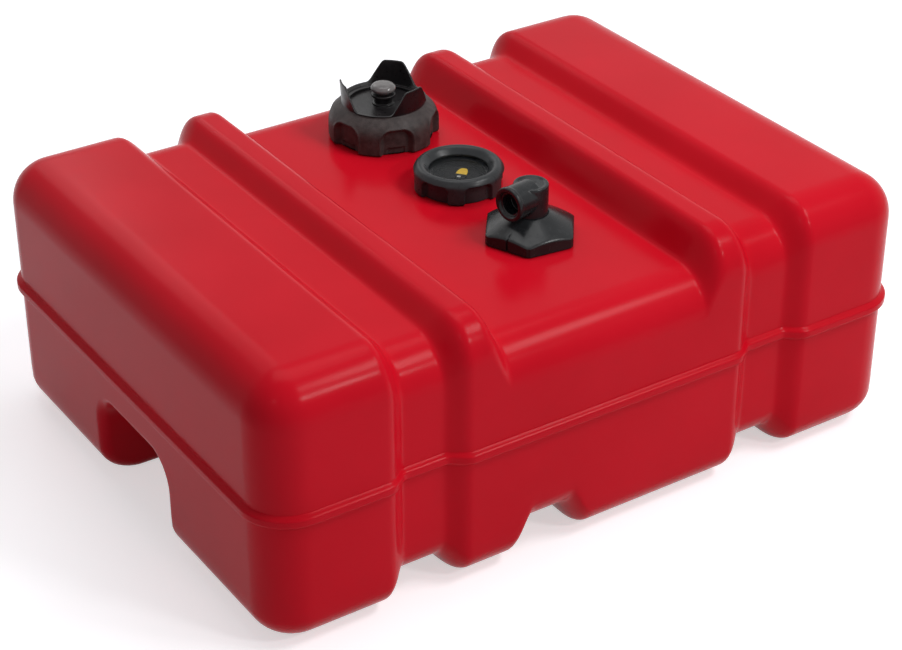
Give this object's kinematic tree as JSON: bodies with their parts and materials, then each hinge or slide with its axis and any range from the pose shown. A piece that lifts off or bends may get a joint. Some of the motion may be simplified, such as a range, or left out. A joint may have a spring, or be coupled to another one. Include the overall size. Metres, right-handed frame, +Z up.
{
  "type": "outboard fuel tank",
  "caption": "Low wide moulded fuel tank with strap channels and end hand holds, a vented screw cap, a float gauge and a hose elbow in its top trough.",
  "frame": {"origin": "on the floor under the middle of the tank", "axes": "+Z up, +X along the tank, -Y the long wall that faces the camera in the picture"},
  "size_m": [0.6086, 0.4566, 0.2525],
  "materials": {
    "tank_red": "moulded polyethylene with a fine grain",
    "cap_plastic": "grained glass-filled nylon",
    "ring_plastic": "smooth moulded nylon",
    "vent_grey": "smooth grey acetal",
    "seal_rubber": "fuel-proof rubber",
    "lens_clear": "clear moulded window",
    "dial_black": "matt black",
    "pointer_yellow": "smooth yellow",
    "natural_acetal": "natural acetal",
    "steel": "drawn stainless wire",
    "float_foam": "closed-cell nitrile foam",
    "pickup_poly": "natural polyethylene"
  },
  "bodies": {
    "tank": {"tank_top": "tank_red", "tank_base": "tank_red", "filler_neck": "tank_red", "gauge_neck": "tank_red", "pickup_neck": "tank_red", "gauge_gasket": "seal_rubber", "gauge_housing": "dial_black", "gauge_dial": "dial_black", "gauge_lens": "lens_clear", "gauge_ring": "ring_plastic", "gauge_stem": "natural_acetal", "arm_pin": "steel", "pickup_gasket": "seal_rubber", "pickup_elbow": "ring_plastic", "pickup_nut": "ring_plastic", "dip_tube": "pickup_poly", "pickup_strainer": "pickup_poly"},
    "cap_seal": {"fuel_cap_gasket": "seal_rubber"},
    "cap_inner": {"fuel_cap_inner": "ring_plastic"},
    "cap_shell": {"fuel_cap_shell": "cap_plastic"},
    "vent_screw": {"vent_screw": "vent_grey"},
    "vent_plunger": {"vent_plunger": "steel", "vent_seal": "seal_rubber"},
    "float": {"arm_gear": "natural_acetal", "float_arm": "steel", "gauge_float": "float_foam"},
    "pointer": {"pointer_shaft": "steel", "shaft_pinion": "natural_acetal", "gauge_pointer": "pointer_yellow"}
  },
  "joints": [
    {"name": "cap_lift", "type": "slide", "parent": "tank", "child": "cap_seal", "axis": [0, 0, 1], "range_m": [0, 0.22]},
    {"name": "cap_unscrew", "type": "hinge", "parent": "cap_seal", "child": "cap_inner", "pos_m": [0.0195, 0.1315, 0.2235], "axis": [0, 0, 1], "range_deg": [0, 540]},
    {"name": "cap_ratchet", "type": "hinge", "parent": "cap_inner", "child": "cap_shell", "pos_m": [0.0195, 0.1315, 0.2235], "axis": [0, 0, 1], "continuous": true},
    {"name": "vent_turn", "type": "hinge", "parent": "cap_inner", "child": "vent_screw", "pos_m": [0.0195, 0.1315, 0.2435], "axis": [0, 0, 1], "range_deg": [0, 360]},
    {"name": "vent_rise", "type": "slide", "parent": "cap_inner", "child": "vent_plunger", "axis": [0, 0, 1], "range_m": [0, 0.002]},
    {"name": "float_swing", "type": "hinge", "parent": "tank", "child": "float", "pos_m": [0.0195, 0.0145, 0.10574], "axis": [0, -1, 0], "range_deg": [0, 90]},
    {"name": "pointer_turn", "type": "hinge", "parent": "tank", "child": "pointer", "pos_m": [0.0195, 0.0145, 0.2065], "axis": [0, 0, 1], "range_deg": [-180, 0]}
  ],
  "couplings": [
    {"joint": "vent_rise", "follows": "vent_turn", "m_per_rad": 0.000318},
    {"joint": "pointer_turn", "follows": "float_swing", "ratio": -2}
  ]
}
